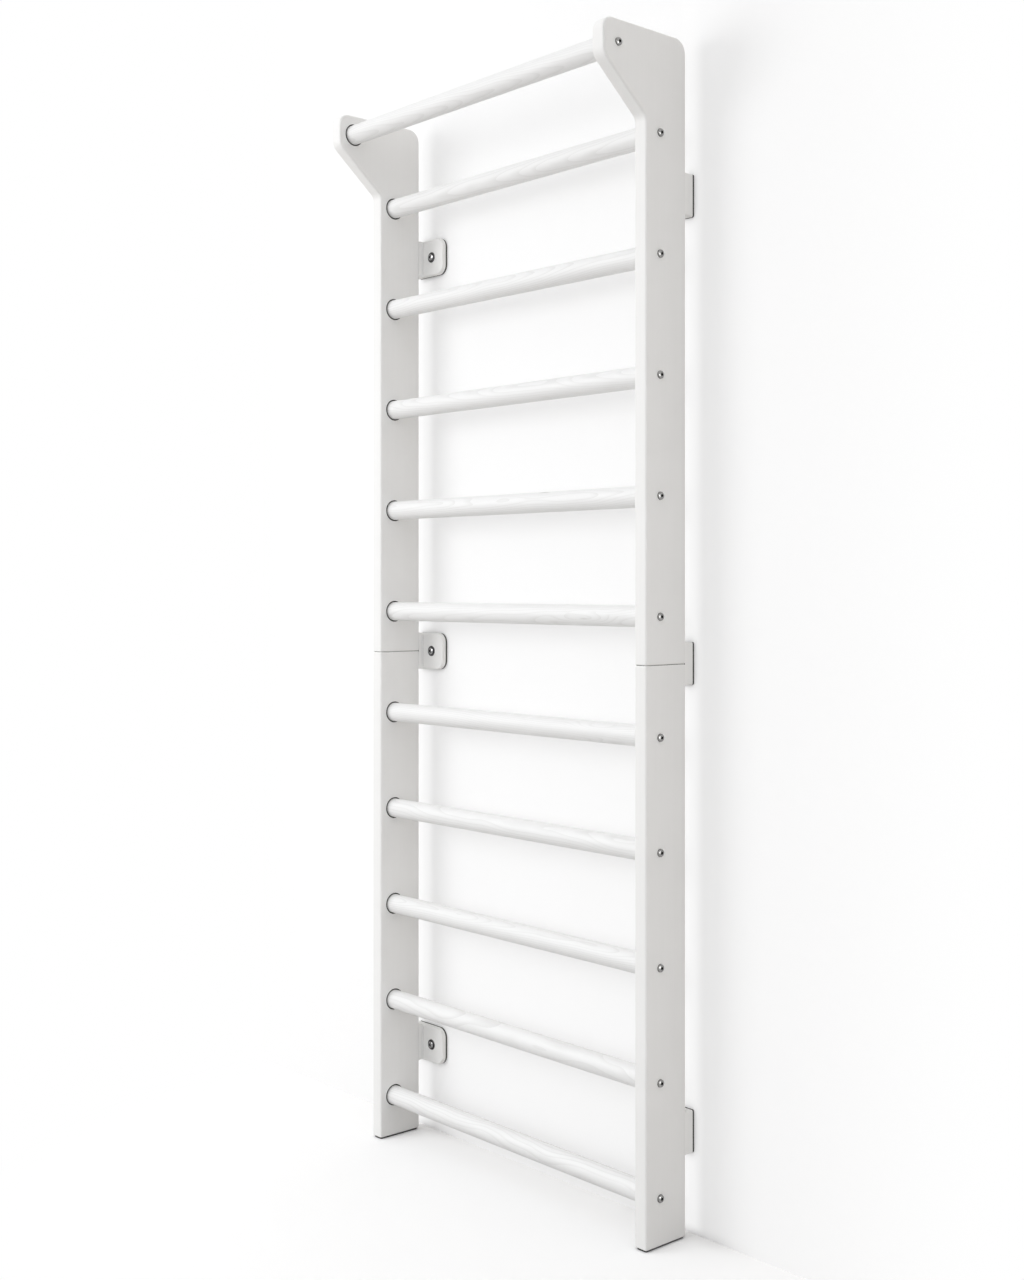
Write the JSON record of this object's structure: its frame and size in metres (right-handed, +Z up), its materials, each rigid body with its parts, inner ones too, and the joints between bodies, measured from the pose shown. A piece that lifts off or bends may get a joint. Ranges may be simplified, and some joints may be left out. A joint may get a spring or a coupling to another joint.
{
  "type": "wall ladder",
  "caption": "Tall gymnastic wall ladder with round rungs between two split stiles, a forward-leaning head with a pull-up bar, and brackets that fix it to a wall.",
  "frame": {"origin": "centre of the whole depth and width, at floor level", "axes": "+Z up the ladder, +Y from the user towards the wall, +X to the right of someone facing the ladder"},
  "size_m": [0.7828, 0.276, 2.08],
  "materials": {
    "stile_paint": "satin white paint",
    "rung_wood": "whitewashed, satin",
    "bracket_shell": "matte white",
    "screw_steel": "zinc plated",
    "wall_steel": "dark nickel",
    "insert_brass": "plain",
    "pad_rubber": "matte black",
    "dowel_wood": "bare beech"
  },
  "bodies": {
    "root": {"left_lower_stile": "stile_paint", "left_upper_stile": "stile_paint", "right_lower_stile": "stile_paint", "right_upper_stile": "stile_paint", "rung_01": "rung_wood", "rung_02": "rung_wood", "rung_03": "rung_wood", "rung_04": "rung_wood", "rung_05": "rung_wood", "rung_06": "rung_wood", "rung_07": "rung_wood", "rung_08": "rung_wood", "rung_09": "rung_wood", "rung_10": "rung_wood", "pull_up_bar": "rung_wood", "left_lower_bracket": "bracket_shell", "left_middle_bracket": "bracket_shell", "left_upper_bracket": "bracket_shell", "right_lower_bracket": "bracket_shell", "right_middle_bracket": "bracket_shell", "right_upper_bracket": "bracket_shell", "lower_rung_screws": "screw_steel", "lower_rung_inserts": "insert_brass", "upper_rung_screws": "screw_steel", "upper_rung_inserts": "insert_brass", "pull_up_bar_screws": "screw_steel", "pull_up_bar_inserts": "insert_brass", "seam_dowels": "dowel_wood", "bracket_screws": "screw_steel", "wall_washers": "wall_steel", "wall_screws": "wall_steel", "wall_pads": "pad_rubber", "floor_pads": "pad_rubber"}
  },
  "joints": []
}
